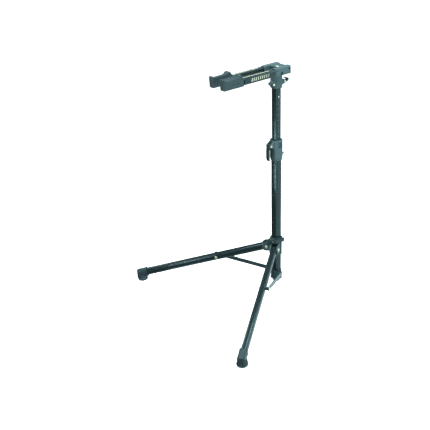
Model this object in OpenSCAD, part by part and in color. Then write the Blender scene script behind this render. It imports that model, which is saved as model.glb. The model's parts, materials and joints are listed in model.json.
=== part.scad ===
// Folding two-leg work stand for a bicycle.
// A telescopic square mast stands on its own base foot and on two legs that fold against it.
// A sliding hub carries the leg hinges, and one link bar per leg ties the leg to the base.
// On top, a fork with two padded prongs tilts on a neck and holds the bicycle.
// Millimetres, +Z up, -Y is the front (where the prongs point), +X is the right-hand side.
// The origin is on the mast's axis, on the ground.

/* [Mast] */
// Outer width of the square lower tube
lower_w = 36.5; // [36:0.5:37]
// Wall of the lower tube
lower_wall = 2.2; // [2:0.1:2.3]
// Play between the two mast tubes, on each face
slide_gap = 0.3; // [0.3:0.05:0.4]
// Height of the top end of the lower tube
lower_top = 712; // [705:1:716]
// Height of the lower end of the upper tube
upper_bottom = 290; // [286:1:320]
// Height of the upper tube's top end, inside the neck
upper_top = 1004; // [1000:1:1004]

/* [Legs] */
// Angle between each leg and the front direction, seen from above
leg_spread = 39; // [37:0.5:41]
// Distance of the leg hinges from the mast's axis
hinge_r = 48; // [47:0.5:50]
// Height of the leg hinges
hinge_z = 198; // [196:1:200]
// Distance of the feet from the mast's axis
foot_r = 680; // [660:5:700]
// Height of the leg's centre line above the middle of its foot
foot_axis_z = 38; // [38:0.5:40]
// Width of the leg tube
leg_w = 26; // [25:0.5:26]
// Height of the leg tube
leg_h = 34; // [32:0.5:34]
// Distance from the mast's axis to the pivot between leg and link
link_far_r = 299; // [280:1:310]

/* [Head] */
// Angle by which the prongs dip below level
head_dip = 3; // [0:0.5:5]
// Height of the tilt axis
tilt_z = 1046; // [1046:1:1048]
// Distance of the tilt axis from the mast's axis (negative is to the front)
tilt_y = -10; // [-11:0.5:-9]
// Distance of the prong tips from the tilt axis
prong_reach = 303; // [290:1:315]
// Clear width between the two rails
rail_gap = 52; // [52:0.5:53]
// Width of one rail
rail_w = 24; // [23:0.5:24]
// Height of one rail
rail_h = 30; // [29:0.5:30]

/* [Hidden] */
$fn = 64;

steel_black = "#2a2e30";
cast_black = "#33383a";
rubber_black = "#1b1d1e";
plastic_black = "#26292a";
bright_steel = "#c8c8c2";
pale_print = "#d8d4bd";

// shared small sizes
fit = 0.1;            // gap between pieces that are fixed to each other
run = 0.03;           // radial play of a turning fit
side_play = 0.4;      // sideways play of a moving piece between its cheeks
clamp_bolt_r = 3;
nut_r = 5.4;           // corner radius of a hexagon nut
flute_r = 4;          // radius of the shallow flutes drawn into each tube face
flute_depth = 1.1;
flute_place = 0.27;    // distance of a flute from the face's middle, as part of the face's width

// mast tubes
lower_r = 6;
lower_bore = lower_w - 2 * lower_wall;
lower_bore_r = 4;
lower_bottom = 20;
upper_w = lower_bore - 2 * slide_gap;
upper_r = 5;
upper_wall = 2;
scale_w = 12;
scale_low = 752;
scale_h = 206;
scale_deep = 0.5;

// base casting and foot
foot_h = 14;
base_foot_r = 15;
base_w = 42;
base_r = 8;
base_top = 64;
core_top = 52;

// links, in the upright plane of their leg: r outwards, w sideways to the outer side
link_base_r = 10;
link_base_z = 46;
link_inner_w = 26;
link_t = 4;
link_h = 20;
link_seat_w = link_inner_w - side_play;
link_pin_r = 4;
link_bush_r = 5.5;
lug_r = 11;

// legs
leg_slope = atan((hinge_z - foot_axis_z) / (foot_r - hinge_r));
leg_r = 6;
leg_wall = 2;
leg_end = 638;
leg_pin_r = 5;
leg_bush_r = 7;
link_on_leg = (link_far_r - hinge_r) / cos(leg_slope);
link_far_z = hinge_z - link_on_leg * sin(leg_slope);
link_rise = link_far_z - link_base_z;
link_run = link_far_r - link_base_r;
link_len = sqrt(link_run * link_run + link_rise * link_rise);
link_slope = atan(link_rise / link_run);

// feet
pad_top = 16;
pad_r = 25;
boot_w = 33;
boot_h = 41;
boot_r = 8;
boot_start = 623;
boot_round = 28;
boot_ridge = 4;
screw_r = 2.5;
screw_top = 32;

// hub
hub_bottom = 150;
hub_shoulder = 224;
hub_top = 246;
hub_w = 43.5;
band_w = 47.5;
hub_r = 8;
liner_t = 1.1;
liner_in = lower_w + 2 * slide_gap;
liner_out = liner_in + 2 * liner_t;
cheek_in = leg_w / 2 + side_play;
cheek_out = 20.5;
cheek_round = 21.5;
skewer_y = -33;
skewer_z = 235;
skewer_r = 3;
hub_pin_x = 18;
hub_pin_r = 3.5;
hub_eye_r = 5.5;
hub_eye_h = 9;
hub_lever_low = 225;
hub_lever_h = 20;
band_ear_out = 11;
band_ear_r = 9.5;

// height collar and its flip lever
collar_low = 642;
collar_step = 652;
collar_top = 740;
collar_w = 45.3;
collar_r = 8;
collar_pin_y = -40;
collar_pin_z = 717;
collar_pin_r = 3;
lever_w = 18.4;
ear_t = 5.4;
barrel_r = 9;
rear_bolt_y = 31;
rear_bolt_z = 666;
pad_w = 15;
pad_h = 16;
slot_y = 6;
slot_z = 707;
slot_pitch = 9;
slot_l = 24;
slot_h = 4.2;
rear_ear_r = 9.5;
rear_ear_out = 8.5;
split = 2.4;           // width of the cuts that let a collar close

// neck
neck_low = 976;
neck_top = 1030;
neck_w = 41;
neck_r = 7;
tilt_lug_r = 11;
tilt_pin_r = 5;
pinch_y = -26;
pinch_z = 995;
pinch_x = 14;
cam_y = 38;
cam_z = 1000;
cam_barrel_r = 7.6;
cam_lever_w = 17.2;
cam_ear_in = cam_lever_w / 2 + side_play;
cam_ear_t = 4;
cam_pin_r = 2.5;
plunger_r = 3.5;
cam_reach = sqrt((cam_y - tilt_y) * (cam_y - tilt_y) + (tilt_z - cam_z) * (tilt_z - cam_z));
plunger_slope = atan((tilt_z - cam_z) / (cam_y - tilt_y));

// head, in its own frame with the tilt axis as origin
cheek_x = 24;
head_half = 51.5;
head_low = -8;
head_high = 26;
head_front = -35;
head_rear = 52;
bridge_front = -2;
bridge_low = 17;
bridge_high = 24.5;
rear_wall = 38;
rear_wall_top = 22;
rail_mid = rail_gap / 2 + rail_w / 2;
rail_low = -7;
rail_r = 5;
rail_wall = 2;
tongue = 40;           // length of the casting's tongues inside the rails
sleeve_in = 24;
sleeve_out = 54;
sleeve_len = 100;
sleeve_low = -9;
sleeve_top = 43;
sleeve_end_wall = 5;
cross_y = 42;
cross_z = 14;
screw_y = -25;
screw_z = 14;
rivet_y = -178;
rivet_z = 15;
clip_slot_w = 6;
clip_slot_h = 17;
clip_slot_y = sleeve_len - prong_reach + clip_slot_w / 2 + 0.5;

// ---- outlines ----

module rounded_square(w, h, r) {
    square([w - 2 * r, h], center = true);
    square([w, h - 2 * r], center = true);
    for (sx = [-1, 1], sy = [-1, 1])
        translate([sx * (w / 2 - r), sy * (h / 2 - r)]) circle(r = r);
}

// rounded box outline with two shallow flutes in each face
module fluted_outline(w, h, r) {
    out = flute_r - flute_depth;
    difference() {
        rounded_square(w, h, r);
        for (face = [-1, 1], place = [-1, 1]) {
            translate([face * (w / 2 + out), place * flute_place * h]) circle(r = flute_r);
            translate([place * flute_place * w, face * (h / 2 + out)]) circle(r = flute_r);
        }
    }
}

module tube_outline(w, h, r, wall) {
    difference() {
        fluted_outline(w, h, r);
        rounded_square(w - 2 * wall, h - 2 * wall, max(r - wall, 1.5));
    }
}

// ---- placing ----

// upright square or rounded bar between two heights
module upright(z0, z1) { translate([0, 0, z0]) linear_extrude(z1 - z0) children(); }

// outline in (y, z), made solid between two x positions
module across(x0, x1) {
    translate([x0, 0, 0]) rotate([90, 0, 90]) linear_extrude(x1 - x0) children();
}

// outline in (x, z), made solid between two y positions
module along(y0, y1) {
    translate([0, y1, 0]) rotate([90, 0, 0]) linear_extrude(y1 - y0) children();
}

module pin_x(x0, x1, r) { translate([x0, 0, 0]) rotate([0, 90, 0]) cylinder(r = r, h = x1 - x0); }
module pin_y(y0, y1, r) { translate([0, y0, 0]) rotate([-90, 0, 0]) cylinder(r = r, h = y1 - y0); }

// the same shape on the right-hand and the left-hand side
module both_sides() { for (s = [0, 1]) mirror([s, 0, 0]) children(); }

// domed head on the +Y side of y0
module dome_y(y0, r, h) {
    translate([0, y0, 0]) rotate([-90, 0, 0]) {
        cylinder(r = r, h = h * 0.45);
        translate([0, 0, h * 0.45]) cylinder(r1 = r, r2 = r * 0.62, h = h * 0.55);
    }
}

// upright plane of a leg: x runs outwards, y sideways to the leg's outer side
module leg_plane(side) {
    mirror([side < 0 ? 1 : 0, 0, 0]) rotate([0, 0, leg_spread - 90]) children();
}

// along the leg, with the hinge as origin
module leg_frame(side) {
    leg_plane(side) translate([hinge_r, 0, hinge_z]) rotate([0, leg_slope, 0]) children();
}

// along the link, with its base pivot as origin
module link_frame(side) {
    leg_plane(side) translate([link_base_r, 0, link_base_z]) rotate([0, -link_slope, 0]) children();
}

module foot_place(side) { leg_plane(side) translate([foot_r, 0, 0]) children(); }

// the tilting head, with the tilt axis as origin
module head_frame() { translate([0, tilt_y, tilt_z]) rotate([head_dip, 0, 0]) children(); }

// ---- base and lower mast ----

module base_foot() {
    color(rubber_black) rotate_extrude() polygon([
        [0, 0], [base_foot_r - 1.5, 0], [base_foot_r, 1.5], [base_foot_r, foot_h - 3],
        [base_foot_r + 1.5, foot_h - 1.5], [base_foot_r + 1.5, foot_h], [0, foot_h]
    ]);
}

module base_pivot_axes(y0, y1, r) {
    for (side = [-1, 1])
        leg_plane(side) translate([link_base_r, 0, link_base_z]) pin_y(y0, y1, r);
}

module base_casting() {
    color(cast_black) difference() {
        union() {
            upright(foot_h, base_top) rounded_square(base_w, base_w, base_r);
            upright(foot_h, foot_h + 9) rounded_square(base_w + 3, base_w + 3, base_r + 1);
            base_pivot_axes(8, link_seat_w, lug_r);
        }
        upright(lower_bottom, base_top + 1) difference() {
            rounded_square(lower_w + 2 * fit, lower_w + 2 * fit, lower_r);
            rounded_square(lower_bore - 2 * fit, lower_bore - 2 * fit, lower_bore_r);
        }
        upright(core_top, base_top + 1) rounded_square(lower_w - 1, lower_w - 1, lower_r);
        for (side = [-1, 1])
            leg_plane(side) translate([-30, link_seat_w, foot_h + 12]) cube([80, 12, 60]);
        base_pivot_axes(3, link_seat_w + 1, link_pin_r + fit);
    }
}

module lower_tube() {
    color(steel_black) difference() {
        upright(lower_bottom + fit, lower_top) tube_outline(lower_w, lower_w, lower_r, lower_wall);
        base_pivot_axes(3, 40, link_pin_r + 2 * fit);
    }
}

module base_pivot_bolts() {
    color(bright_steel) {
        base_pivot_axes(4, link_inner_w + link_t + side_play, link_pin_r);
        for (side = [-1, 1])
            leg_plane(side) translate([link_base_r, 0, link_base_z])
                dome_y(link_inner_w + link_t + side_play, 7, 3.5);
    }
}

module height_collar() {
    ear_in = lever_w / 2 + side_play;
    color(cast_black) difference() {
        union() {
            upright(collar_step, collar_top) rounded_square(collar_w, collar_w, collar_r);
            upright(collar_low, collar_step) rounded_square(collar_w - 3.6, collar_w - 3.6, collar_r - 1);
            both_sides() {
                across(ear_in, ear_in + ear_t) {
                    translate([collar_pin_y, collar_pin_z]) circle(r = barrel_r - 1);
                    polygon([
                        [-18, 698], [-34, 708], [-42, 710], [-47, 721], [-38, 729], [-26, 738], [-18, 738]
                    ]);
                }
                across(split / 2, rear_ear_out) {
                    translate([rear_bolt_y, rear_bolt_z]) circle(r = rear_ear_r);
                    polygon([
                        [19, collar_low], [22, collar_low + 2],
                        [rear_bolt_y, rear_bolt_z - rear_ear_r], [rear_bolt_y, rear_bolt_z + rear_ear_r],
                        [22, rear_bolt_z + 22], [19, rear_bolt_z + 22]
                    ]);
                }
            }
        }
        upright(collar_low - 1, collar_top + 1)
            rounded_square(lower_w + 2 * fit, lower_w + 2 * fit, lower_r);
        // the split at the back, closed by the rear bolt
        translate([-split / 2, 10, collar_low - 1]) cube([split, 40, collar_top - collar_low - 6]);
        // the window of the clamp pad
        translate([-pad_w / 2 - fit, -30, collar_pin_z - pad_h / 2 - fit])
            cube([pad_w + 2 * fit, 14, pad_h + 2 * fit]);
        // three slots through each side
        both_sides() for (i = [0:2])
            translate([collar_w / 2, slot_y, slot_z + i * slot_pitch])
                cube([collar_w - lower_w, slot_l, slot_h], center = true);
        translate([0, collar_pin_y, collar_pin_z]) pin_x(-20, 20, collar_pin_r + fit);
        translate([0, rear_bolt_y, rear_bolt_z]) pin_x(-12, 12, clamp_bolt_r + fit);
    }
}

module collar_bush() {
    color(plastic_black) difference() {
        union() {
            upright(lower_top + fit, collar_top) rounded_square(lower_w, lower_w, lower_r);
            upright(collar_top, collar_top + 3) rounded_square(collar_w - 3, collar_w - 3, collar_r - 1);
        }
        upright(lower_top, collar_top + 4) rounded_square(lower_bore, lower_bore, lower_bore_r);
    }
}

module collar_rear_bolt() {
    color(bright_steel) translate([0, rear_bolt_y, rear_bolt_z]) {
        pin_x(-rear_ear_out, rear_ear_out, clamp_bolt_r);
        pin_x(rear_ear_out, rear_ear_out + 4, 5);
        rotate([0, 90, 0]) translate([0, 0, -rear_ear_out - 4]) cylinder(r = nut_r, h = 4, $fn = 6);
    }
}

module height_lever_pin() {
    grip = lever_w / 2 + side_play + ear_t;
    color(bright_steel) translate([0, collar_pin_y, collar_pin_z]) {
        pin_x(-grip, grip, collar_pin_r);
        both_sides() rotate([0, 0, -90]) dome_y(grip, 5.2, 3);
    }
}

module height_clamp_pad() {
    color(plastic_black)
        translate([-pad_w / 2, collar_pin_y + barrel_r + 0.6, collar_pin_z - pad_h / 2])
        cube([pad_w, -lower_w / 2 - fit - collar_pin_y - barrel_r - 0.6, pad_h]);
}

// ---- flip lever that locks the height ----

module height_lever() {
    color(plastic_black) difference() {
        across(-lever_w / 2, lever_w / 2) {
            translate([collar_pin_y, collar_pin_z]) circle(r = barrel_r);
            polygon([
                [-40, 725.9], [-45.5, 724.5], [-50, 718], [-52.4, 706], [-52.6, 664], [-51, 653],
                [-47.5, 646.5], [-44, 645.5], [-43, 649], [-45, 656], [-45, 692], [-43.5, 702],
                [-38, 708.2]
            ]);
        }
        translate([0, collar_pin_y, collar_pin_z]) pin_x(-20, 20, collar_pin_r + run);
    }
}

module height_lever_insert() {
    color(bright_steel) across(-7, 7)
        polygon([[-45, 656], [-43, 656], [-42.6, 672], [-43, 690], [-45, 692]]);
}

// ---- hub ----

module hub_cheek(taller) {
    translate([hinge_r, hinge_z]) circle(r = cheek_round);
    polygon([
        [14, 166], [34, 176.6], [hinge_r, hinge_z - cheek_round], [hinge_r, hinge_z + cheek_round],
        [34, 221], [14, 221]
    ]);
    if (taller) polygon([[20, 200], [20, 243], [27, 240], [54, 219], [hinge_r, 205]]);
}

module hub_casting() {
    color(cast_black) difference() {
        union() {
            upright(hub_bottom, hub_shoulder) rounded_square(hub_w, hub_w, hub_r);
            upright(hub_shoulder, hub_top) rounded_square(band_w, band_w, hub_r);
            for (side = [-1, 1], s = [-1, 1])
                leg_plane(side) along(s < 0 ? -cheek_out : cheek_in, s < 0 ? -cheek_in : cheek_out)
                    hub_cheek(side < 0 && s < 0);
            // ears of the clamping band
            both_sides() across(split / 2, band_ear_out) {
                translate([skewer_y, skewer_z]) circle(r = band_ear_r);
                translate([skewer_y, skewer_z - band_ear_r]) square([18, 2 * band_ear_r]);
            }
        }
        upright(hub_bottom - 1, hub_top + 1)
            rounded_square(liner_out + 2 * fit, liner_out + 2 * fit, lower_r + liner_t);
        translate([-split / 2, -50, hub_shoulder]) cube([split, 35, 40]);
        for (side = [-1, 1])
            leg_plane(side) translate([hinge_r, 0, hinge_z]) pin_y(-30, 30, leg_pin_r + fit);
        translate([0, skewer_y, skewer_z]) pin_x(-10, 20, skewer_r + fit);
    }
}

module hub_liner() {
    color(plastic_black) upright(hub_bottom, hub_top) difference() {
        rounded_square(liner_out, liner_out, lower_r + liner_t);
        rounded_square(liner_in, liner_in, lower_r);
    }
}

module leg_hinge_bolts() {
    color(bright_steel) for (side = [-1, 1])
        leg_plane(side) translate([hinge_r, 0, hinge_z]) {
            pin_y(-cheek_out, cheek_out, leg_pin_r);
            for (turn = [0, 180]) rotate([0, 0, turn]) dome_y(cheek_out, 8, 4);
        }
}

module hub_skewer() {
    color(bright_steel) difference() {
        union() {
            translate([0, skewer_y, skewer_z]) pin_x(-9.5, hub_pin_x, skewer_r);
            translate([hub_pin_x, skewer_y, skewer_z - hub_eye_h / 2])
                cylinder(r = hub_eye_r, h = hub_eye_h);
        }
        translate([hub_pin_x, skewer_y, skewer_z - 20]) cylinder(r = hub_pin_r + fit, h = 40);
    }
}

module hub_lever_pin() {
    color(bright_steel) translate([hub_pin_x, skewer_y, hub_lever_low - 0.6])
        cylinder(r = hub_pin_r, h = hub_lever_h + 1.2);
}

module hub_lever() {
    color(plastic_black) difference() {
        upright(hub_lever_low, hub_lever_low + hub_lever_h) {
            translate([hub_pin_x, skewer_y]) circle(r = hub_eye_r + 1);
            polygon([
                [hub_pin_x, -39.4], [22.6, -37.8], [29, -35.5], [33, -30], [34.2, -20], [34.6, -4],
                [33.8, 12], [31.6, 24], [29, 27.5], [26.6, 26.5], [26.8, 22], [28.4, 10], [28.8, -4],
                [28.2, -18], [25.5, -25.5], [hub_pin_x, -26.6]
            ]);
        }
        translate([hub_pin_x, skewer_y, hub_lever_low - 1])
            cylinder(r = hub_pin_r + run, h = hub_lever_h + 2);
        translate([hub_pin_x, skewer_y, skewer_z - hub_eye_h / 2 - 0.5])
            cylinder(r = 7.6, h = hub_eye_h + 1);
    }
}

// ---- legs ----

module leg_tube(side) {
    color(steel_black) leg_frame(side) difference() {
        intersection() {
            rotate([90, 0, 90]) translate([0, 0, -leg_h / 2]) linear_extrude(leg_end + leg_h / 2)
                tube_outline(leg_w, leg_h, leg_r, leg_wall);
            union() {
                pin_y(-leg_w, leg_w, leg_h / 2);
                translate([0, -leg_w, -leg_h]) cube([leg_end + 1, 2 * leg_w, 2 * leg_h]);
            }
        }
        pin_y(-leg_w, leg_w, leg_bush_r + fit);
        translate([link_on_leg, 0, 0]) pin_y(-leg_w, leg_w, link_pin_r + fit);
    }
}

module leg_bush(side) {
    color(plastic_black) leg_frame(side) difference() {
        pin_y(-leg_w / 2, leg_w / 2, leg_bush_r);
        pin_y(-leg_w, leg_w, leg_pin_r + run);
    }
}

module leg_boot(side) {
    color(plastic_black) difference() {
        union() {
            intersection() {
                leg_frame(side) rotate([90, 0, 90]) {
                    translate([0, 0, boot_start]) linear_extrude(90)
                        rounded_square(boot_w, boot_h, boot_r);
                    translate([0, 0, boot_start]) linear_extrude(boot_ridge)
                        rounded_square(boot_w + 2.4, boot_h + 2.4, boot_r + 1);
                }
                foot_place(side) union() {
                    cylinder(r = boot_round, h = 90);
                    translate([-100, -40, 0]) cube([100, 80, 90]);
                }
            }
            foot_place(side) translate([0, 0, pad_top]) cylinder(r = 22, h = 8);
        }
        foot_place(side) {
            translate([-120, -50, -1]) cube([200, 100, pad_top + 1]);
            translate([0, 0, 1]) cylinder(r = screw_r + fit, h = screw_top);
        }
        leg_frame(side) rotate([90, 0, 90]) translate([0, 0, boot_start - 1])
            linear_extrude(leg_end + fit - boot_start + 1)
            rounded_square(leg_w + 2 * fit, leg_h + 2 * fit, leg_r);
    }
}

module foot_pad(side) {
    color(rubber_black) foot_place(side) difference() {
        rotate_extrude() polygon([
            [0, 0], [pad_r - 5, 0], [pad_r - 2.4, 1.6], [pad_r - 0.6, 4.4], [pad_r, 8], [pad_r - 0.4, 11],
            [pad_r - 1.6, 14], [pad_r - 2.6, pad_top], [0, pad_top]
        ]);
        translate([0, 0, -1]) cylinder(r = screw_r + fit, h = pad_top + 2);
        translate([0, 0, -1]) cylinder(r = 5.6, h = 6.5);
    }
}

module foot_screw(side) {
    color(bright_steel) foot_place(side) {
        translate([0, 0, 2.5]) cylinder(r = 5, h = 3);
        translate([0, 0, 5]) cylinder(r = screw_r, h = screw_top - 5);
    }
}

module link_bolt(side) {
    color(bright_steel) leg_frame(side) translate([link_on_leg, 0, 0]) {
        pin_y(-leg_w / 2, link_seat_w, link_pin_r);
        rotate([0, 0, 180]) dome_y(leg_w / 2, 7, 3.5);
    }
}

module link_spacer(side) {
    color(plastic_black) leg_frame(side) translate([link_on_leg, 0, 0]) difference() {
        pin_y(leg_w / 2, link_seat_w, 8);
        pin_y(0, 40, link_pin_r + fit);
    }
}

// ---- links ----

module link_bar(side) {
    color(steel_black) link_frame(side) difference() {
        union() {
            pin_y(link_inner_w, link_inner_w + link_t, link_h / 2 + 1);
            translate([link_len, 0, 0]) pin_y(link_inner_w, link_inner_w + link_t, link_h / 2 + 1);
            translate([0, link_inner_w, -link_h / 2]) cube([link_len, link_t, link_h]);
        }
        pin_y(0, 60, link_bush_r + fit);
        translate([link_len, 0, 0]) pin_y(link_inner_w + 1, 60, 3 + fit);
    }
}

module link_bush(side) {
    color(plastic_black) link_frame(side) difference() {
        pin_y(link_inner_w, link_inner_w + link_t, link_bush_r);
        pin_y(0, 60, link_pin_r + run);
    }
}

module link_rivet(side) {
    color(bright_steel) link_frame(side) translate([link_len, 0, 0]) {
        pin_y(link_inner_w + 1.2, link_inner_w + link_t, 3);
        dome_y(link_inner_w + link_t, 6.5, 3);
    }
}

// ---- upper mast and neck ----

module upper_tube() {
    color(steel_black) difference() {
        upright(upper_bottom, upper_top) tube_outline(upper_w, upper_w, upper_r, upper_wall);
        translate([upper_w / 2 - scale_deep, -scale_w / 2, scale_low]) cube([2, scale_w, scale_h]);
    }
}

module tube_end_plug() {
    color(plastic_black) {
        upright(upper_bottom - 6, upper_bottom) rounded_square(upper_w - 0.2, upper_w - 0.2, upper_r);
        upright(upper_bottom - 1, upper_bottom + 18)
            rounded_square(upper_w - 2 * upper_wall - 0.2, upper_w - 2 * upper_wall - 0.2, 2.8);
    }
}

module height_scale() {
    color(pale_print) translate([upper_w / 2 - scale_deep, -scale_w / 2 + fit, scale_low + fit])
        cube([scale_deep - fit, scale_w - 2 * fit, scale_h - 2 * fit]);
}

module neck_bracket() {
    color(cast_black) difference() {
        union() {
            upright(neck_low, neck_top) rounded_square(neck_w, neck_w, neck_r);
            upright(neck_low, neck_low + 5) rounded_square(neck_w - 3, neck_w - 3, neck_r - 1);
            // lug that carries the tilt axis
            across(-neck_w / 2, neck_w / 2) {
                translate([tilt_y, tilt_z]) circle(r = tilt_lug_r);
                polygon([
                    [tilt_y - tilt_lug_r, tilt_z], [-neck_w / 2 + 1, neck_top - 4], [12, neck_top - 4],
                    [tilt_y + tilt_lug_r, tilt_z]
                ]);
            }
            // pinch ears
            across(-pinch_x, pinch_x) {
                translate([pinch_y, pinch_z]) circle(r = 8);
                polygon([
                    [-16, 982], [-25, 984], [pinch_y, 987], [pinch_y, 1003], [-22, 1008], [-16, 1010]
                ]);
            }
            // ears of the tilt lever
            both_sides() across(cam_ear_in, cam_ear_in + cam_ear_t) {
                translate([cam_y, cam_z]) circle(r = 8);
                polygon([
                    [19, 983], [27, 988.4], [cam_y + 1, 992.1], [cam_y + 5, 1006.2], [31, 1011.5],
                    [19, 1016]
                ]);
            }
        }
        upright(neck_low - 1, upper_top + fit)
            rounded_square(upper_w + 2 * fit, upper_w + 2 * fit, upper_r);
        translate([-split / 2, -40, neck_low - 1]) cube([split, 32, upper_top - neck_low + 6]);
        translate([0, tilt_y, tilt_z]) pin_x(-40, 40, tilt_pin_r + run);
        translate([0, pinch_y, pinch_z]) pin_x(-20, 20, clamp_bolt_r + fit);
        translate([0, cam_y, cam_z]) pin_x(-20, 20, cam_pin_r + fit);
        plunger_line() cylinder(r = plunger_r + fit, h = cam_reach);
    }
}

module neck_pinch_bolt() {
    color(bright_steel) translate([0, pinch_y, pinch_z]) {
        pin_x(-pinch_x, pinch_x, clamp_bolt_r);
        pin_x(pinch_x, pinch_x + 4, 5);
        rotate([0, 90, 0]) translate([0, 0, -pinch_x - 4]) cylinder(r = nut_r, h = 4, $fn = 6);
    }
}

// line from the tilt axle down to the lever's cam
module plunger_line() { translate([0, tilt_y, tilt_z]) rotate([-90 - plunger_slope, 0, 0]) children(); }

module tilt_brake_plunger() {
    start = tilt_pin_r + 0.2;
    color(bright_steel) plunger_line()
        translate([0, 0, start]) cylinder(r = plunger_r, h = cam_reach - cam_barrel_r - 0.3 - start);
}

module tilt_lever_pin() {
    grip = cam_ear_in + cam_ear_t;
    color(bright_steel) translate([0, cam_y, cam_z]) {
        pin_x(-grip, grip, cam_pin_r);
        both_sides() pin_x(grip, grip + 1.5, 4);
    }
}

module tilt_lever() {
    color(plastic_black) difference() {
        across(-cam_lever_w / 2, cam_lever_w / 2) {
            translate([cam_y, cam_z]) circle(r = cam_barrel_r);
            polygon([
                [38, 992.4], [46, 992.6], [55, 995], [61.5, 999], [64.5, 1004], [63, 1009],
                [57.5, 1012.6], [49, 1014.4], [45, 1013.4], [45.6, 1010.6], [53, 1009],
                [57.5, 1006], [57, 1002.8], [51, 1001.4], [44, 1004.5], [38, 1007.6]
            ]);
        }
        translate([0, cam_y, cam_z]) pin_x(-20, 20, cam_pin_r + run);
    }
}

// ---- head ----

module head_casting() {
    color(cast_black) head_frame() difference() {
        union() {
            intersection() {
                union() {
                    both_sides() translate([(cheek_x + head_half) / 2, 0, 0])
                        along(head_front, head_rear)
                            translate([0, (head_low + head_high) / 2])
                            rounded_square(head_half - cheek_x, head_high - head_low, 4);
                    translate([-cheek_x - 5, bridge_front, bridge_low])
                        cube([2 * cheek_x + 10, rear_wall + 4 - bridge_front, bridge_high - bridge_low]);
                    translate([-cheek_x - 5, rear_wall, head_low])
                        cube([2 * cheek_x + 10, head_rear - rear_wall, rear_wall_top - head_low]);
                }
                translate([0, (head_front + head_rear) / 2, 0]) upright(-20, 40)
                    rounded_square(2 * head_half, head_rear - head_front, 7);
            }
            both_sides() translate([rail_mid, 0, 0]) along(head_front - tongue, head_front + 2)
                translate([0, rail_low + rail_h / 2])
                rounded_square(rail_w - 2 * (rail_wall + fit), rail_h - 2 * (rail_wall + fit), 3);
        }
        pin_x(-60, 60, tilt_pin_r + fit);
        both_sides() translate([head_half, 0, 0]) {
            pin_x(-4, 4, 8);
            translate([0, cross_y, cross_z]) pin_x(-5, 5, 5.6);
            translate([0, screw_y, screw_z]) pin_x(-2.5, 2.5, 2.8);
        }
        translate([0, cross_y, cross_z]) pin_x(-60, 60, clamp_bolt_r + fit);
    }
}

module rail(side) {
    color(steel_black) head_frame() difference() {
        translate([side * rail_mid, 0, 0])
            along(-prong_reach + sleeve_end_wall, head_front)
            translate([0, rail_low + rail_h / 2]) difference() {
                rounded_square(rail_w, rail_h, rail_r);
                rounded_square(rail_w - 2 * rail_wall, rail_h - 2 * rail_wall, rail_r - rail_wall);
            }
        translate([side * (rail_mid + rail_w / 2), rivet_y, rivet_z]) pin_x(-4, 4, 2 + fit);
        // slot behind the sleeve, in the outer wall
        translate([side * (rail_mid + rail_w / 2), clip_slot_y, rail_low + rail_h / 2])
            cube([3 * rail_wall, clip_slot_w, clip_slot_h], center = true);
    }
}

// side outline of a prong sleeve: raised tip, saddle, and a hump at the back that stops the load
module sleeve_outline() {
    tip = -prong_reach;
    back = tip + sleeve_len;
    polygon([
        [tip + 5, sleeve_low], [back, sleeve_low], [back, 26], [back - 4, 30], [back - 7, 38],
        [back - 11, 42], [back - 16, sleeve_top - 0.5], [back - 22, 39], [back - 29, 33.5],
        [back - 40, 31.6],
        [tip + 24, 31], [tip + 16, 32], [tip + 11, 36], [tip + 7, 38], [tip + 2.5, 37.6], [tip, 34.5],
        [tip, -4]
    ]);
}

module prong_sleeve(side) {
    mid = (sleeve_in + sleeve_out) / 2;
    color(rubber_black) head_frame() difference() {
        intersection() {
            across(side * mid - (sleeve_out - sleeve_in) / 2, side * mid + (sleeve_out - sleeve_in) / 2)
                sleeve_outline();
            translate([side * mid, 0, 0]) along(-prong_reach - 1, -prong_reach + sleeve_len + 1)
                translate([0, (sleeve_low + sleeve_top) / 2])
                rounded_square(sleeve_out - sleeve_in, sleeve_top - sleeve_low, 6);
        }
        translate([side * rail_mid, 0, 0])
            along(-prong_reach + sleeve_end_wall - fit, -prong_reach + sleeve_len + 1)
            translate([0, rail_low + rail_h / 2])
            rounded_square(rail_w + 2 * fit, rail_h + 2 * fit, rail_r);
    }
}

module tilt_pivot_bolt() {
    color(cast_black) head_frame() {
        pin_x(-head_half + 4, head_half - 4, tilt_pin_r);
        both_sides() pin_x(head_half - 4, head_half - 1, 7);
    }
}

module tilt_washers() {
    color(plastic_black) head_frame() both_sides() difference() {
        pin_x(neck_w / 2 + side_play, cheek_x, 10);
        pin_x(0, 40, tilt_pin_r + fit);
    }
}

module head_cross_bolts() {
    color(cast_black) head_frame() translate([0, cross_y, cross_z]) {
        pin_x(-head_half + 5, head_half - 5, clamp_bolt_r);
        both_sides() pin_x(head_half - 5, head_half - 2, 5);
    }
}

module rail_rivets() {
    out = rail_mid + rail_w / 2;
    color(cast_black) head_frame() translate([0, rivet_y, rivet_z]) both_sides() {
        pin_x(out - 3, out, 2);
        pin_x(out, out + 0.8, 3);
    }
}

module head_badge() {
    color(pale_print) head_frame() translate([6, 2, bridge_high]) cube([15, 8, 0.6]);
}

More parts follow.
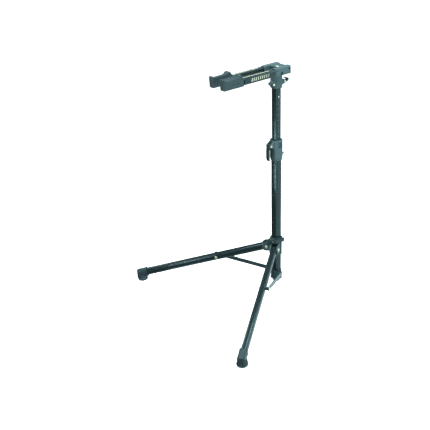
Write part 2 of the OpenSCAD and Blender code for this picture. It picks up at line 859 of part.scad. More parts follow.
base_foot();
base_casting();
lower_tube();
base_pivot_bolts();
height_collar();
collar_bush();
collar_rear_bolt();
height_lever_pin();
height_clamp_pad();
height_lever();
height_lever_insert();
hub_casting();
hub_liner();
leg_hinge_bolts();
hub_skewer();
hub_lever_pin();
hub_lever();
leg_tube(-1);  // leg_tube_left
leg_tube(1);  // leg_tube_right
leg_bush(-1);  // leg_bush_left
leg_bush(1);  // leg_bush_right
leg_boot(-1);  // leg_boot_left
leg_boot(1);  // leg_boot_right
foot_pad(-1);  // foot_pad_left
foot_pad(1);  // foot_pad_right
foot_screw(-1);  // foot_screw_left
foot_screw(1);  // foot_screw_right
link_bolt(-1);  // link_bolt_left
link_bolt(1);  // link_bolt_right
link_spacer(-1);  // link_spacer_left
link_spacer(1);  // link_spacer_right
link_bar(-1);  // link_bar_left
link_bar(1);  // link_bar_right
link_bush(-1);  // link_bush_left
link_bush(1);  // link_bush_right
link_rivet(-1);  // link_rivet_left
link_rivet(1);  // link_rivet_right
upper_tube();
tube_end_plug();
height_scale();
neck_bracket();
neck_pinch_bolt();
tilt_brake_plunger();
tilt_lever_pin();
tilt_lever();
head_casting();
rail(-1);  // rail_left
rail(1);  // rail_right
prong_sleeve(-1);  // prong_sleeve_left
prong_sleeve(1);  // prong_sleeve_right
tilt_pivot_bolt();
tilt_washers();
head_cross_bolts();
rail_rivets();
head_badge();
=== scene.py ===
import json
import math

import bmesh
import bpy
from mathutils import Matrix, Vector


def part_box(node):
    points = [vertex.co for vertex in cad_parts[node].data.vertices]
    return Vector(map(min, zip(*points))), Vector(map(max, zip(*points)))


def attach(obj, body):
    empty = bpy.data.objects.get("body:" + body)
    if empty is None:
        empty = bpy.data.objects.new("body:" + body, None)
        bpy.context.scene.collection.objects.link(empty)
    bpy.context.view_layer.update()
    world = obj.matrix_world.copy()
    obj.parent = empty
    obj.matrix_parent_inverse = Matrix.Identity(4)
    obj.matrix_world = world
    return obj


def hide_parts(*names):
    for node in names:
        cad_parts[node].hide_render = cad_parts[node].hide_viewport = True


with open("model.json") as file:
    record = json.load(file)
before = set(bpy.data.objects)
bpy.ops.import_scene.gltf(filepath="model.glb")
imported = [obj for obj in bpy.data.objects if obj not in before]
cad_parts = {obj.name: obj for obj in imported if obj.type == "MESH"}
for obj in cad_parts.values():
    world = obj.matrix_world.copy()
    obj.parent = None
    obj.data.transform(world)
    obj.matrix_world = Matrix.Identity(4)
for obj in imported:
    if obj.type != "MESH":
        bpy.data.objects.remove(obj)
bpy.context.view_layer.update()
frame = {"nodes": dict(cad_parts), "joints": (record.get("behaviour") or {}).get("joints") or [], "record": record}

MM = 0.001
BRIGHT_SIDE = (0.40, 0.85, -0.33)    # where the studio's walls are brightest
SKY_TURN = (-0.15, 0.6)              # from which to which closeness to that side the walls brighten
SKY_STRENGTH = (0.13, 1.3)           # dark and bright strength of the walls
SKY_COLOUR = (0.74, 0.95, 1.0)
LAMP_COLOUR = (0.85, 0.97, 1.0)
HEAD_DIP = math.radians(3)           # the fork's tips hang this much at rest
LEG_SPREAD = math.radians(39)        # of each leg from straight ahead
FOOT_AXIS_Z = 38 * MM                # height of the leg's axis over the foot, from the floor
FOOT_R = 680 * MM                    # from the mast's axis out to a foot
SIDES = {"left": -1, "right": 1}
JOINTS = {j["name"]: j for j in frame["joints"]}
BODY_OF = {n: b for b, ns in frame["record"]["behaviour"]["bodies"].items() for n in ns}
SLOT_OF = {s["node"]: s["material_slot"] for s in frame["record"]["subparts"]}


def joint_place(name):
    return Vector(JOINTS[name]["pos_m"])


# ---- materials ----

class Shader:
    """A small helper for node trees: each call adds one node and returns it."""

    def __init__(self, name):
        self.material = bpy.data.materials.new(name)
        self.material.use_nodes = True
        self.nodes = self.material.node_tree.nodes
        self.links = self.material.node_tree.links
        self.bsdf = self.nodes["Principled BSDF"]
        self.place = self.nodes.new("ShaderNodeTexCoord").outputs["Object"]

    def join(self, output, socket):
        self.links.new(output, socket)

    def stretched(self, scale):
        node = self.nodes.new("ShaderNodeMapping")
        node.inputs["Scale"].default_value = scale
        self.join(self.place, node.inputs["Vector"])
        return node.outputs["Vector"]

    def drawn_along(self, direction, squeeze):
        """Coordinates squeezed along a direction, so that noise becomes long streaks that follow it."""
        upright = Vector(direction).rotation_difference(Vector((0, 0, 1)))
        turn = self.nodes.new("ShaderNodeMapping")
        turn.inputs["Rotation"].default_value = upright.to_euler()
        self.join(self.place, turn.inputs["Vector"])
        node = self.nodes.new("ShaderNodeMapping")
        node.inputs["Scale"].default_value = (1, 1, squeeze)
        self.join(turn.outputs["Vector"], node.inputs["Vector"])
        return node.outputs["Vector"]

    def noise(self, size, detail=3.0, roughness=0.5, vector=None):
        """Noise whose blobs are about size metres across."""
        node = self.nodes.new("ShaderNodeTexNoise")
        node.inputs["Scale"].default_value = 1 / size
        node.inputs["Detail"].default_value = detail
        node.inputs["Roughness"].default_value = roughness
        self.join(vector or self.place, node.inputs["Vector"])
        return node.outputs["Fac"]

    def cells(self, size):
        node = self.nodes.new("ShaderNodeTexVoronoi")
        node.inputs["Scale"].default_value = 1 / size
        self.join(self.place, node.inputs["Vector"])
        return node.outputs["Distance"]

    def ramp(self, value, low, high, at=(0.3, 0.7)):
        node = self.nodes.new("ShaderNodeValToRGB")
        stops = node.color_ramp.elements
        stops[0].position, stops[1].position = at
        stops[0].color = (*low, 1)
        stops[1].color = (*high, 1)
        self.join(value, node.inputs["Fac"])
        return node.outputs["Color"]

    def spread(self, value, low, high):
        node = self.nodes.new("ShaderNodeMapRange")
        node.inputs["To Min"].default_value = low
        node.inputs["To Max"].default_value = high
        self.join(value, node.inputs["Value"])
        return node.outputs["Result"]

    def mix(self, factor, a, b):
        node = self.nodes.new("ShaderNodeMix")
        node.data_type = "RGBA"
        self.join(factor, node.inputs[0])
        self.join(a, node.inputs[6])
        if hasattr(b, "is_output"):
            self.join(b, node.inputs[7])
        else:
            node.inputs[7].default_value = (*b, 1)
        return node.outputs[2]

    def bump(self, height, depth, strength, onto=None):
        node = self.nodes.new("ShaderNodeBump")
        node.inputs["Distance"].default_value = depth
        node.inputs["Strength"].default_value = strength
        self.join(height, node.inputs["Height"])
        if onto is not None:
            self.join(onto, node.inputs["Normal"])
        return node.outputs["Normal"]

    def edges(self, low=0.5, high=0.62):
        """1 on convex edges, 0 elsewhere: worn edges on the paints, a painted sheen on moulded rubber and plastic.
        """
        geometry = self.nodes.new("ShaderNodeNewGeometry")
        node = self.nodes.new("ShaderNodeMapRange")
        node.inputs["From Min"].default_value = low
        node.inputs["From Max"].default_value = high
        self.join(geometry.outputs["Pointiness"], node.inputs["Value"])
        return node.outputs["Result"]

    def finish(self, colour, rough, normal, metallic=0.0, specular=0.5, sheen=0.0, tint=(1, 1, 1)):
        self.join(colour, self.bsdf.inputs["Base Color"])
        self.join(rough, self.bsdf.inputs["Roughness"])
        self.join(normal, self.bsdf.inputs["Normal"])
        self.bsdf.inputs["Metallic"].default_value = metallic
        self.bsdf.inputs["Specular IOR Level"].default_value = specular
        self.bsdf.inputs["Specular Tint"].default_value = (*tint, 1)
        self.bsdf.inputs["Sheen Weight"].default_value = sheen
        return self.material


def anodised(name, along, dark, light, worn, rough):
    """Black anodised extrusion: die lines along the tube, cloudy dye, edges rubbed a little lighter."""
    s = Shader(name)
    clouds = s.ramp(s.noise(60 * MM, 3, 0.4), dark, light, (0.2, 0.8))
    colour = s.mix(s.spread(s.edges(), 0.0, 0.2), clouds, worn)
    die_lines = s.noise(0.9 * MM, 2, 0.5, s.drawn_along(along, 0.004))
    skin = s.bump(die_lines, 0.012 * MM, 0.25)
    scuffs = s.noise(14 * MM, 5, 0.6, s.drawn_along(along, 0.2))
    return s.finish(colour, s.spread(scuffs, rough - 0.02, rough + 0.03), skin, specular=0.62, tint=TEAL)


def powder_coat(name, dark, light, worn, rough, grain):
    """Powder-coated metal: fine orange peel, faint patches, edges rubbed a little lighter."""
    s = Shader(name)
    patches = s.ramp(s.noise(60 * MM, 4), dark, light)
    specks = s.mix(s.spread(s.noise(0.5 * MM, 2), 0.0, 0.35), patches, light)
    colour = s.mix(s.spread(s.edges(), 0.0, 0.45), specks, worn)
    peel = s.bump(s.noise(grain, 2, 0.4), 0.06 * MM, 0.3)
    scuffs = s.noise(9 * MM, 6, 0.7, s.stretched((1, 1, 0.25)))
    return s.finish(colour, s.spread(scuffs, rough - 0.08, rough + 0.1), peel, tint=TEAL)


def moulded(name, dark, light, rough, grain, depth, sheen=0.0):
    """Moulded rubber or plastic: pebbled skin, dusty patches and a painted sheen that lightens the edges."""
    s = Shader(name)
    dust = s.noise(22 * MM, 6, 0.65)
    # painted sheen: convex edges are mixed toward the light colour
    colour = s.mix(s.spread(s.edges(0.5, 0.6), 0.0, 0.35), s.ramp(dust, dark, light), light)
    pebbles = s.bump(s.cells(grain), depth, 0.4)
    skin = s.bump(s.noise(3 * MM, 4), 0.08 * MM, 0.25, pebbles)
    gloss = s.spread(s.noise(6 * MM, 4), rough - 0.08, rough + 0.1)
    return s.finish(colour, gloss, skin, sheen=sheen, tint=TEAL)


def plated(name, colour_low, colour_high, rough):
    """Zinc-plated steel: brushed hairlines and cloudy passivation."""
    s = Shader(name)
    clouds = s.ramp(s.noise(3 * MM, 5, 0.6), colour_low, colour_high)
    hairs = s.noise(0.35 * MM, 2, 0.5, s.stretched((1, 1, 0.08)))
    normal = s.bump(hairs, 0.02 * MM, 0.5)
    return s.finish(clouds, s.spread(hairs, rough - 0.08, rough + 0.12), normal, metallic=1.0)


def printed(name, ink, worn_ink, rough):
    """Printed film: slightly rubbed ink with a faint ink grain."""
    s = Shader(name)
    colour = s.ramp(s.noise(2.5 * MM, 6, 0.7), worn_ink, ink, (0.32, 0.5))
    normal = s.bump(s.noise(0.3 * MM, 2), 0.02 * MM, 0.4)
    return s.finish(colour, s.spread(s.noise(4 * MM, 3), rough - 0.06, rough + 0.08), normal)


def leg_direction(side):
    """Unit vector down the leg, from its hinge to its foot."""
    start = joint_place("leg_fold_" + side)
    sideways = SIDES[side] * FOOT_R * math.sin(LEG_SPREAD)
    foot = Vector((sideways, -FOOT_R * math.cos(LEG_SPREAD), FOOT_AXIS_Z))
    return (foot - start).normalized()


TEAL = (0.66, 0.97, 1.0)
TUBE = dict(dark=(0.005, 0.0095, 0.010), light=(0.008, 0.015, 0.016),
            worn=(0.05, 0.075, 0.08), rough=0.22)
MATERIALS = {
    "mast_paint": anodised("mast_paint", (0, 0, 1), **TUBE),
    "rail_paint": anodised("rail_paint", (0, 1, 0), **TUBE),
    "left_leg_paint": anodised("left_leg_paint", leg_direction("left"), **TUBE),
    "right_leg_paint": anodised("right_leg_paint", leg_direction("right"), **TUBE),
    "cast_paint": powder_coat("cast_paint", (0.042, 0.076, 0.083), (0.06, 0.1, 0.107),
                              (0.15, 0.2, 0.21), 0.42, 0.7 * MM),
    "link_paint": powder_coat("link_paint", (0.016, 0.030, 0.032), (0.024, 0.042, 0.044),
                              (0.1, 0.13, 0.14), 0.26, 0.9 * MM),
    # painted shade: a darker copy of cast_paint, so the hub and base castings look shaded
    "shaded_cast_paint": powder_coat("shaded_cast_paint", (0.018, 0.036, 0.038), (0.027, 0.048, 0.05),
                                  (0.12, 0.16, 0.17), 0.45, 0.7 * MM),
    "rubber": moulded("rubber", (0.017, 0.033, 0.036), (0.024, 0.042, 0.045), 0.42,
                      0.8 * MM, 0.1 * MM, sheen=0.15),
    "plastic": moulded("plastic", (0.012, 0.022, 0.024), (0.02, 0.033, 0.035), 0.42,
                       0.5 * MM, 0.06 * MM),
    "bright_steel": plated("bright_steel", (0.85, 0.80, 0.60), (0.95, 0.9, 0.7), 0.3),
    "black_steel": powder_coat("black_steel", (0.006, 0.010, 0.011), (0.012, 0.018, 0.019),
                               (0.06, 0.07, 0.07), 0.3, 0.5 * MM),
    "print": printed("print", (0.80, 0.78, 0.55), (0.5, 0.5, 0.38), 0.42),
    "soft_print": printed("soft_print", (0.52, 0.52, 0.38), (0.36, 0.38, 0.28), 0.5),
    "grey_print": printed("grey_print", (0.17, 0.22, 0.22), (0.09, 0.12, 0.12), 0.42),
}
# the hub and base castings take the darker copy of cast_paint, which is painted shade
FINISH = {"rail_left": "rail_paint", "rail_right": "rail_paint",
          "hub_casting": "shaded_cast_paint", "base_casting": "shaded_cast_paint",
          "leg_tube_left": "left_leg_paint", "leg_tube_right": "right_leg_paint"}


# ---- making pieces ----

def link_object(name, mesh, body, slot, replaces=(), finish=None):
    piece = bpy.data.objects.new(name, mesh)
    bpy.context.scene.collection.objects.link(piece)
    mesh.materials.clear()
    mesh.materials.append(MATERIALS[finish or slot])
    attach(piece, body)
    if replaces:
        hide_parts(*replaces)
    return piece


def smooth(piece):
    """Shades the faces smooth, weighted so that large flat faces stay flat."""
    for polygon in piece.data.polygons:
        polygon.use_smooth = True
    modifier = piece.modifiers.new("even_normals", "WEIGHTED_NORMAL")
    modifier.keep_sharp = True
    return piece


def cut(piece, work):
    """Cuts the shape in work out of a piece, with its modifiers applied first."""
    cutter = bpy.data.objects.new("cutter", as_mesh("cutter", work))
    bpy.context.scene.collection.objects.link(cutter)
    opening = piece.modifiers.new("opening", "BOOLEAN")
    opening.operation = "DIFFERENCE"
    opening.object = cutter
    bpy.context.view_layer.update()
    final = bpy.data.meshes.new_from_object(piece.evaluated_get(bpy.context.evaluated_depsgraph_get()))
    piece.modifiers.clear()
    piece.data = final
    bpy.data.objects.remove(cutter)


def hexagon(work, centre, axis, across, depth):
    """Adds a hexagonal plug round centre, depth long to each side along axis."""
    turn = Vector((0, 0, 1)).rotation_difference(axis).to_matrix()
    radius = across / 2
    base = []
    for k in range(6):
        angle = math.radians(60 * k)
        corner = Vector((radius * math.cos(angle), radius * math.sin(angle), -depth))
        base.append(centre + turn @ corner)
    extruded(work, base, axis * 2 * depth)


def extruded(work, base, shift):
    """Adds a prism: the closed outline base, moved along shift."""
    low = [work.verts.new(p) for p in base]
    high = [work.verts.new(Vector(p) + Vector(shift)) for p in base]
    faces = [work.faces.new(low), work.faces.new(high[::-1])]
    for k in range(len(base)):
        n = (k + 1) % len(base)
        faces.append(work.faces.new((low[n], low[k], high[k], high[n])))
    bmesh.ops.recalc_face_normals(work, faces=faces)


SOCKET_ACROSS = 5.6 * MM
SOCKET_DEPTH = 1.6 * MM
BOLT_HEAD_REACH = 9 * MM             # farther from its axis a node's points belong to another bolt
BOTH_ENDS = (-1, 1)
HEAD_END = (1,)
WELD = 0.002 * MM                    # points closer than this become one
FLAT_ANGLE = math.radians(0.4)       # faces that meet at less than this become one
EDGE_ANGLE = math.radians(28)        # edges sharper than this are rounded


def refined(node, width):
    """The CAD node's own shape with its edges rounded by width; tubes stay flat-shaded."""
    mesh = frame["nodes"][node].data.copy()
    work = bmesh.new()
    work.from_mesh(mesh)
    bmesh.ops.remove_doubles(work, verts=work.verts, dist=WELD)
    bmesh.ops.dissolve_limit(work, angle_limit=FLAT_ANGLE, verts=work.verts, edges=work.edges)
    work.to_mesh(mesh)
    work.free()
    slot = SLOT_OF[node]
    piece = link_object(node + "_finish", mesh, BODY_OF[node], slot, [node], FINISH.get(node))
    bevel = piece.modifiers.new("rounded_edges", "BEVEL")
    bevel.width = width
    bevel.segments = 2
    bevel.limit_method = "ANGLE"
    bevel.angle_limit = EDGE_ANGLE
    bevel.use_clamp_overlap = False
    bevel.miter_outer = "MITER_ARC"
    if node in TUBES:
        return piece
    if node in SOCKETS:
        work = bmesh.new()
        for centre, axis in SOCKETS[node](node):
            hexagon(work, centre, axis, SOCKET_ACROSS, SOCKET_DEPTH)
        cut(piece, work)
    return smooth(piece)


def bolt_ends(node, origin, axis, ends=BOTH_ENDS):
    """Outermost points of the bolt along axis through origin, each with its outward direction."""
    axis = Vector(axis).normalized()
    reaches = []
    for v in frame["nodes"][node].data.vertices:
        offset = v.co - origin
        along = offset.dot(axis)
        if (offset - axis * along).length < BOLT_HEAD_REACH:
            reaches.append(along)
    found = {-1: min(reaches), 1: max(reaches)}
    return [(origin + axis * found[end], axis * end) for end in ends]


def middle_of(node):
    low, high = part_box(node)
    return (Vector(low) + Vector(high)) / 2


def hinge_sockets(node):
    """Finds the sockets of both leg hinge bolts, which lie along the hinges' own axes."""
    found = []
    for side in SIDES:
        hinge = JOINTS["leg_fold_" + side]
        found += bolt_ends(node, Vector(hinge["pos_m"]), hinge["axis"])
    return found


def cross_bolt(place_of, ends=BOTH_ENDS):
    """Finds the sockets of a bolt that lies along X; place_of gives a point on it."""
    return lambda node: bolt_ends(node, place_of(node), (1, 0, 0), ends)


SOCKETS = {
    "leg_hinge_bolts": hinge_sockets,
    "height_lever_pin": cross_bolt(lambda node: joint_place("height_lever_flip")),
    "collar_rear_bolt": cross_bolt(middle_of, HEAD_END),
    "neck_pinch_bolt": cross_bolt(middle_of, HEAD_END),
    "tilt_pivot_bolt": cross_bolt(lambda node: joint_place("head_tilt")),
    "head_cross_bolts": cross_bolt(middle_of),
}


# width of each node's rounded edges in millimetres; the others get FINE_EDGE
EDGE = {
    "base_casting": 0.9, "lower_tube": 0.4, "height_collar": 0.8,
    "collar_bush": 0.4, "height_lever": 1.2, "height_lever_insert": 0.4, "hub_casting": 0.9,
    "hub_lever": 1.2, "neck_bracket": 0.8, "tilt_lever": 1.1, "head_casting": 1.0,
    "link_bar_left": 0.7, "link_bar_right": 0.7, "upper_tube": 0.4,
    "leg_tube_left": 0.4, "leg_tube_right": 0.4, "leg_boot_left": 1.2, "leg_boot_right": 1.2,
    "rail_left": 0.3, "rail_right": 0.3,
}
FINE_EDGE = 0.25
TUBES = {"lower_tube", "upper_tube", "leg_tube_left", "leg_tube_right",
         "rail_left", "rail_right"}
MADE_BY_HAND = {"base_foot", "foot_pad_left", "foot_pad_right", "prong_sleeve_left",
                "prong_sleeve_right", "height_scale"}


def local_box(node, place):
    """Lowest and highest corner of a CAD node, measured in the frame that place describes."""
    back = place.inverted()
    points = [back @ v.co for v in frame["nodes"][node].data.vertices]
    return (Vector([min(p[i] for p in points) for i in range(3)]),
            Vector([max(p[i] for p in points) for i in range(3)]))


HEAD = Matrix.Translation(joint_place("head_tilt")) @ Matrix.Rotation(HEAD_DIP, 4, "X")


def eased(keys, t):
    """Height at t along a list of (place, height) keys, with a smooth step between keys."""
    if t <= keys[0][0]:
        return keys[0][1]
    for (t0, h0), (t1, h1) in zip(keys, keys[1:]):
        if t <= t1:
            u = (t - t0) / (t1 - t0)
            return h0 + (h1 - h0) * u * u * (3 - 2 * u)
    return keys[-1][1]


def rounded_ring(x0, x1, z0, z1, radius, steps=7):
    """Corner points of a rounded rectangle in (x, z), anticlockwise, with straight sides split in four."""
    centres = [(x1 - radius, z1 - radius, 0), (x0 + radius, z1 - radius, 90),
               (x0 + radius, z0 + radius, 180), (x1 - radius, z0 + radius, 270)]
    arcs = []
    for cx, cz, start in centres:
        turns = [math.radians(start + 90 * k / steps) for k in range(steps + 1)]
        arcs.append([(cx + radius * math.cos(a), cz + radius * math.sin(a)) for a in turns])
    points = []
    for arc, following in zip(arcs, arcs[1:] + arcs[:1]):
        points += arc
        (ax, az), (bx, bz) = arc[-1], following[0]
        points += [(ax + (bx - ax) * k / 4, az + (bz - az) * k / 4) for k in (1, 2, 3)]
    return points


def lofted(rings):
    """Closed mesh through rings of equally many points, capped at both ends."""
    work = bmesh.new()
    loops = [[work.verts.new(p) for p in ring] for ring in rings]
    count = len(loops[0])
    for one, two in zip(loops, loops[1:]):
        for k in range(count):
            work.faces.new((one[k], one[(k + 1) % count], two[(k + 1) % count], two[k]))
    work.faces.new(loops[0][::-1])
    work.faces.new(loops[-1])
    bmesh.ops.recalc_face_normals(work, faces=work.faces)
    return work


def as_mesh(name, work, place=None):
    if place is not None:
        work.transform(place)
    mesh = bpy.data.meshes.new(name)
    work.to_mesh(mesh)
    work.free()
    return mesh


def prong_sleeve(side):
    """Rubber saddle: raised tip, ribbed cradle that falls outwards, hump at the back, notched side."""
    node = "prong_sleeve_" + side
    low, high = local_box(node, HEAD)
    length = high.y - low.y
    # (millimetres from the tip, height of the top) and (millimetres from the tip, share of the slope)
    top = [(0, 36), (3, 38), (8, 38), (14, 34.2), (20, 33), (60, 33.6), (72, 36), (79, 41), (84, 42.7),
           (89, 42), (94, 36), (97, 30), (100, 27)]
    lean = [(12, 0), (22, 1), (72, 1), (84, 0.2)]
    under = 9                          # from the sleeve's underside up to the outline's zero
    outward_slope = 0.16
    rib_start, rib_end, rib_count = 24, 70, 4
    rib_height = 0.55 * MM
    notch_start, notch_pitch, notch_count = 30, 5.5, 9
    corner = 3.4 * MM
    nose = 4 * MM
    middle = (low.x + high.x) / 2
    back_edge = 1.0 * MM
    steps = 150
    rings = []
    ends = [nose * (1 - math.cos(math.radians(a))) for a in (8, 18, 28, 40, 52, 64, 77)]
    places = ends + [nose + (length - nose - 1.2 * MM) * k / steps for k in range(steps + 1)] + [length]
    for t in places:
        inset = 0.0
        if t < nose:
            inset = nose - math.sqrt(nose * nose - (nose - t) ** 2)
        if t > length - back_edge:
            inset = back_edge
        mm = t / MM
        peak = low.z + (eased(top, mm) + under) * MM
        rib = 0.0
        if rib_start < mm < rib_end:
            turns = (mm - rib_start) / (rib_end - rib_start) * rib_count
            rib = rib_height * max(0.0, math.sin(2 * math.pi * turns))
        ring = rounded_ring(low.x + inset, high.x - inset, low.z + inset * 0.8, peak - inset * 0.5,
                            max(corner - inset * 0.6, 1 * MM))
        fall = eased(lean, mm) * outward_slope
        span = peak - low.z
        points = []
        for x, z in ring:
            outward = (x - middle) * SIDES[side]
            high_share = max(0.0, (z - low.z) / span - 0.55) / 0.45
            z += high_share * (rib - outward * fall)
            points.append((x, low.y + t, z))
        rings.append(points)
    mesh = as_mesh(node, lofted(rings), HEAD)
    piece = link_object(node + "_rubber", mesh, "head", "rubber", [node])
    outer = high.x if side == "right" else low.x
    work = bmesh.new()
    for k in range(notch_count):
        start = low.y + (notch_start + notch_pitch * k) * MM
        notch = ((0, 7), (2.4, 7), (4.4, 15), (2.0, 15))
        base = [(outer - 0.9 * MM, start + y * MM, z * MM) for y, z in notch]
        extruded(work, base, (1.8 * MM, 0, 0))
    work.transform(HEAD)
    cut(piece, work)
    return smooth(piece)


def turned(name, profile, place, body, slot, replaces, turns=96):
    """Piece turned on a lathe from (radius, height) points that start and end on the axis."""
    work = bmesh.new()
    rings = []
    for radius, height in profile:
        if radius < 1e-6:
            rings.append([work.verts.new((0, 0, height))])
        else:
            angles = [2 * math.pi * k / turns for k in range(turns)]
            circle = [(radius * math.cos(a), radius * math.sin(a), height) for a in angles]
            rings.append([work.verts.new(p) for p in circle])
    for one, two in zip(rings, rings[1:]):
        for k in range(turns):
            n = (k + 1) % turns
            if len(one) == 1:
                work.faces.new((one[0], two[k], two[n]))
            elif len(two) == 1:
                work.faces.new((one[k], two[0], one[n]))
            else:
                work.faces.new((one[k], two[k], two[n], one[n]))
    bmesh.ops.recalc_face_normals(work, faces=work.faces)
    mesh = as_mesh(name, work, place)
    return smooth(link_object(name, mesh, body, slot, replaces))


def foot_pad(side):
    """Domed rubber foot with a groove round its waist and ring grooves in its sole."""
    node = "foot_pad_" + side
    low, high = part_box(node)
    middle = (low + high) / 2
    outer = (high.x - low.x) / 2
    height = high.z - low.z
    profile = [(0, 1.0 * MM), (5 * MM, 1.0 * MM), (5.4 * MM, 0)]
    for groove in (9 * MM, 14 * MM):
        profile += [(groove, 0), (groove + 0.4 * MM, 1.2 * MM),
                    (groove + 1.6 * MM, 1.2 * MM), (groove + 2 * MM, 0)]
    shoulder = 5 * MM
    for a in range(0, 91, 15):
        turn = math.radians(a)
        profile.append((outer - shoulder + shoulder * math.sin(turn), shoulder - shoulder * math.cos(turn)))
    profile += [(outer, 7.2 * MM), (outer - 0.3 * MM, 7.5 * MM), (outer - 0.9 * MM, 7.8 * MM),
                (outer - 0.9 * MM, 8.6 * MM), (outer - 0.3 * MM, 8.9 * MM), (outer - 0.1 * MM, 9.4 * MM)]
    for a in range(10, 61, 10):
        turn = math.radians(a)
        profile.append((outer - 9 * MM * (1 - math.cos(turn)), 9.4 * MM + 7.4 * MM * math.sin(turn)))
    profile += [(outer - 6 * MM, height), (0, height)]
    place = Matrix.Translation((middle.x, middle.y, low.z))
    return turned(node + "_rubber", profile, place, "leg_" + side, "rubber", [node])


def base_foot():
    low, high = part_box("base_foot")
    outer = (high.x - low.x) / 2
    height = high.z - low.z
    profile = [(0, 0.8 * MM), (6 * MM, 0.8 * MM), (6.5 * MM, 0), (outer - 4.5 * MM, 0)]
    for a in range(15, 91, 15):
        turn = math.radians(a)
        profile.append((outer - 4.5 * MM + 3 * MM * math.sin(turn), 3 * MM - 3 * MM * math.cos(turn)))
    profile += [(outer - 1.5 * MM, height - 4 * MM), (outer - 0.2 * MM, height - 2.4 * MM),
                (outer, height - 1.8 * MM), (outer, height - 0.3 * MM),
                (outer - 0.4 * MM, height), (0, height)]
    place = Matrix.Identity(4)
    return turned("base_foot_rubber", profile, place, "lower_mast", "rubber", ["base_foot"])


for node in sorted(frame["nodes"]):
    if node not in MADE_BY_HAND:
        refined(node, EDGE.get(node, FINE_EDGE) * MM)
for side in SIDES:
    prong_sleeve(side)
    foot_pad(side)
base_foot()


def bar(work, low, high):
    """Adds a box to the mesh being built."""
    made = bmesh.ops.create_cube(work, size=1)["verts"]
    low, high = Vector(low), Vector(high)
    for v in made:
        v.co = Vector([(low[i] + high[i]) / 2 + v.co[i] * (high[i] - low[i]) for i in range(3)])


def height_scale():
    """Filled ticks in the tube's scale recess, a long one every fifth, with a cream dot near the top."""
    low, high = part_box("height_scale")
    step = 5 * MM
    margin = 4 * MM
    rim = 0.6 * MM
    count = int((high.z - low.z - 2 * margin) / step)
    work = bmesh.new()
    for k in range(count + 1):
        z = low.z + margin + k * step
        reach = 6.5 * MM if k % 5 == 0 else 4 * MM
        bar(work, (low.x, high.y - rim - reach, z), (high.x, high.y - rim, z + 1.3 * MM))
        if k % 5 == 0:
            bar(work, (low.x, low.y + 1 * MM, z - 0.6 * MM), (high.x, low.y + 3.2 * MM, z + 1.9 * MM))
    link_object("height_scale_ticks", as_mesh("height_scale_ticks", work), "upper_mast", "print",
                ["height_scale"], "grey_print")
    dot = bmesh.new()
    centre = Vector((low.x, high.y - 4 * MM, high.z - 20 * MM))
    radius = 3.4 * MM
    ring = []
    corners = 32
    for k in range(corners):
        angle = 2 * math.pi * k / corners
        ring.append(centre + Vector((0, radius * math.cos(angle), radius * math.sin(angle))))
    extruded(dot, ring, (0.7 * MM, 0, 0))
    link_object("height_scale_dot", as_mesh("height_scale_dot", dot), "upper_mast", "print")


def rail_stripe_and_print(side):
    """Pale stripe along the rail's top, wider behind the sleeve, and slanted bars on its outer side."""
    sign = SIDES[side]
    low, high = local_box("rail_" + side, HEAD)
    sleeve_end = local_box("prong_sleeve_" + side, HEAD)[1].y
    middle = (low.x + high.x) / 2
    half = 3.0 * MM
    patch = 5.0 * MM
    # the pale stripe is a thin raised strip of pale colour on the rail's top; the slanted bars are print
    start, bend, end = sleeve_end + 0.8 * MM, sleeve_end + 7 * MM, high.y - 24 * MM
    outline = [(-half, start), (patch, start), (patch, bend),
               (half, bend + 1.5 * MM), (half, end), (-half, end)]
    work = bmesh.new()
    extruded(work, [(middle + sign * x, y, high.z - 0.2 * MM) for x, y in outline], (0, 0, 0.35 * MM))
    outer = high.x if sign > 0 else low.x
    centre = (low.z + high.z) / 2
    bar_start, bar_pitch, bar_count = 40, 11, 9
    for k in range(bar_count):
        y = sleeve_end + (bar_start + bar_pitch * k) * MM
        width = (6.4 - 0.3 * k) * MM
        base = [(outer - sign * 0.3 * MM, y + shift * MM + wide * width, centre + z * MM)
                for shift, wide, z in ((0, 0, -6.5), (0, 1, -6.5), (4, 1, 6.5), (4, 0, 6.5))]
        extruded(work, base, (sign * 0.45 * MM, 0, 0))
    name = "rail_stripe_and_print_" + side
    link_object(name, as_mesh(name, work, HEAD), "head", "print", finish="soft_print")


height_scale()
for side in SIDES:
    rail_stripe_and_print(side)


# ---- floor, light and camera ----

def floor():
    """Wide pale floor with a glow of its own, kept out of the part's reflections and bounce light."""
    mesh = bpy.data.meshes.new("floor")
    half = 60.0
    glow = 0.9
    corners = [(-half, -half, 0), (half, -half, 0), (half, half, 0), (-half, half, 0)]
    mesh.from_pydata(corners, [], [(0, 1, 2, 3)])
    piece = bpy.data.objects.new("floor", mesh)
    bpy.context.scene.collection.objects.link(piece)
    s = Shader("studio_floor")
    colour = s.ramp(s.noise(1.5, 3), (0.9, 0.9, 0.9), (0.93, 0.93, 0.93))
    grain = s.bump(s.noise(2 * MM, 2), 0.05 * MM, 0.1)
    s.finish(colour, s.spread(s.noise(0.4, 3), 0.75, 0.85), grain, specular=0.1)
    s.bsdf.inputs["Emission Color"].default_value = (1, 1, 1, 1)
    s.bsdf.inputs["Emission Strength"].default_value = glow
    mesh.materials.append(s.material)
    piece.visible_glossy = False
    piece.visible_diffuse = False


def softbox(name, position, target, size, power):
    """Rectangular lamp of so many watts that faces the target."""
    light = bpy.data.lights.new(name, "AREA")
    light.shape = "RECTANGLE"
    light.size, light.size_y = size
    light.energy = power
    light.color = LAMP_COLOUR
    lamp = bpy.data.objects.new(name, light)
    bpy.context.scene.collection.objects.link(lamp)
    lamp.location = position
    aim = (Vector(target) - Vector(position)).to_track_quat("-Z", "Y")
    lamp.rotation_euler = aim.to_euler()


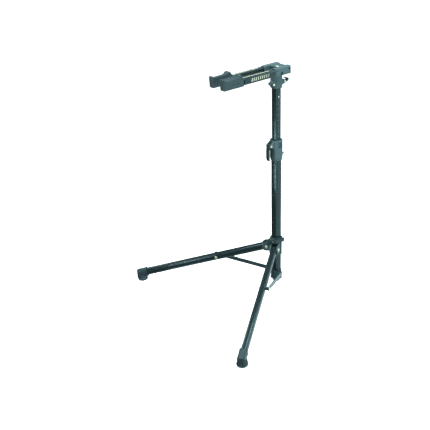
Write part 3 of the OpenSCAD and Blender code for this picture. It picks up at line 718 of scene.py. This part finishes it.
def sky_by_direction(tree):
    """Strength of the world's light: bright behind, to the right and low, dark to the front left."""
    direction = tree.nodes.new("ShaderNodeTexCoord").outputs["Generated"]
    toward = tree.nodes.new("ShaderNodeVectorMath")
    toward.operation = "DOT_PRODUCT"
    tree.links.new(direction, toward.inputs[0])
    toward.inputs[1].default_value = BRIGHT_SIDE
    spread = tree.nodes.new("ShaderNodeMapRange")
    spread.interpolation_type = "SMOOTHSTEP"
    spread.inputs["From Min"].default_value, spread.inputs["From Max"].default_value = SKY_TURN
    spread.inputs["To Min"].default_value, spread.inputs["To Max"].default_value = SKY_STRENGTH
    tree.links.new(toward.outputs["Value"], spread.inputs["Value"])
    return spread.outputs["Result"]


def studio():
    """Walls that light the part from one side but look plain white, and four lamps."""
    world = bpy.data.worlds.new("studio")
    bpy.context.scene.world = world
    world.use_nodes = True
    tree = world.node_tree
    background = tree.nodes["Background"]
    background.inputs["Color"].default_value = (*SKY_COLOUR, 1)
    tree.links.new(sky_by_direction(tree), background.inputs["Strength"])
    seen = tree.nodes.new("ShaderNodeBackground")
    seen.inputs["Color"].default_value = (1, 1, 1, 1)
    seen.inputs["Strength"].default_value = 1.0
    path = tree.nodes.new("ShaderNodeLightPath")
    mix = tree.nodes.new("ShaderNodeMixShader")
    tree.links.new(path.outputs["Is Camera Ray"], mix.inputs[0])
    tree.links.new(background.outputs[0], mix.inputs[1])
    tree.links.new(seen.outputs[0], mix.inputs[2])
    tree.links.new(mix.outputs[0], tree.nodes["World Output"].inputs["Surface"])
    middle = (0, -0.15, 0.5)
    softbox("top", (0.5, -0.7, 3.4), middle, (2.2, 2.2), 165)
    softbox("back_right", (2.4, 3.0, 1.5), middle, (2.2, 1.8), 25)
    softbox("front_low", (0.86, -2.5, 0.15), (0, 0, 0.85), (0.9, 0.5), 40)
    softbox("left_strip", (-2.2, -0.28, 1.5), (0, -0.28, 1.5), (0.85, 2.8), 10)


def camera():
    """The photograph's viewing angle, as fitted to the photograph."""
    sensor = 36.0
    focal_pixels, image_pixels = 620, 430
    place = Matrix.Translation((2.0803, -1.7026, 1.6462))
    azimuth, pitch, roll = math.radians(56.95), math.radians(25.43), math.radians(-2.69)
    data = bpy.data.cameras.new("camera")
    data.sensor_width = sensor
    data.lens = sensor * focal_pixels / image_pixels
    data.clip_end = 200
    eye = bpy.data.objects.new("camera", data)
    bpy.context.scene.collection.objects.link(eye)
    facing = Matrix.Rotation(azimuth, 4, "Z") @ Matrix.Rotation(math.pi / 2 - pitch, 4, "X")
    eye.matrix_world = place @ facing @ Matrix.Rotation(roll, 4, "Z")
    bpy.context.scene.camera = eye


floor()
studio()
camera()
view = bpy.context.scene.view_settings
view.view_transform = "Standard"
view.look = "None"

bpy.context.view_layer.update()
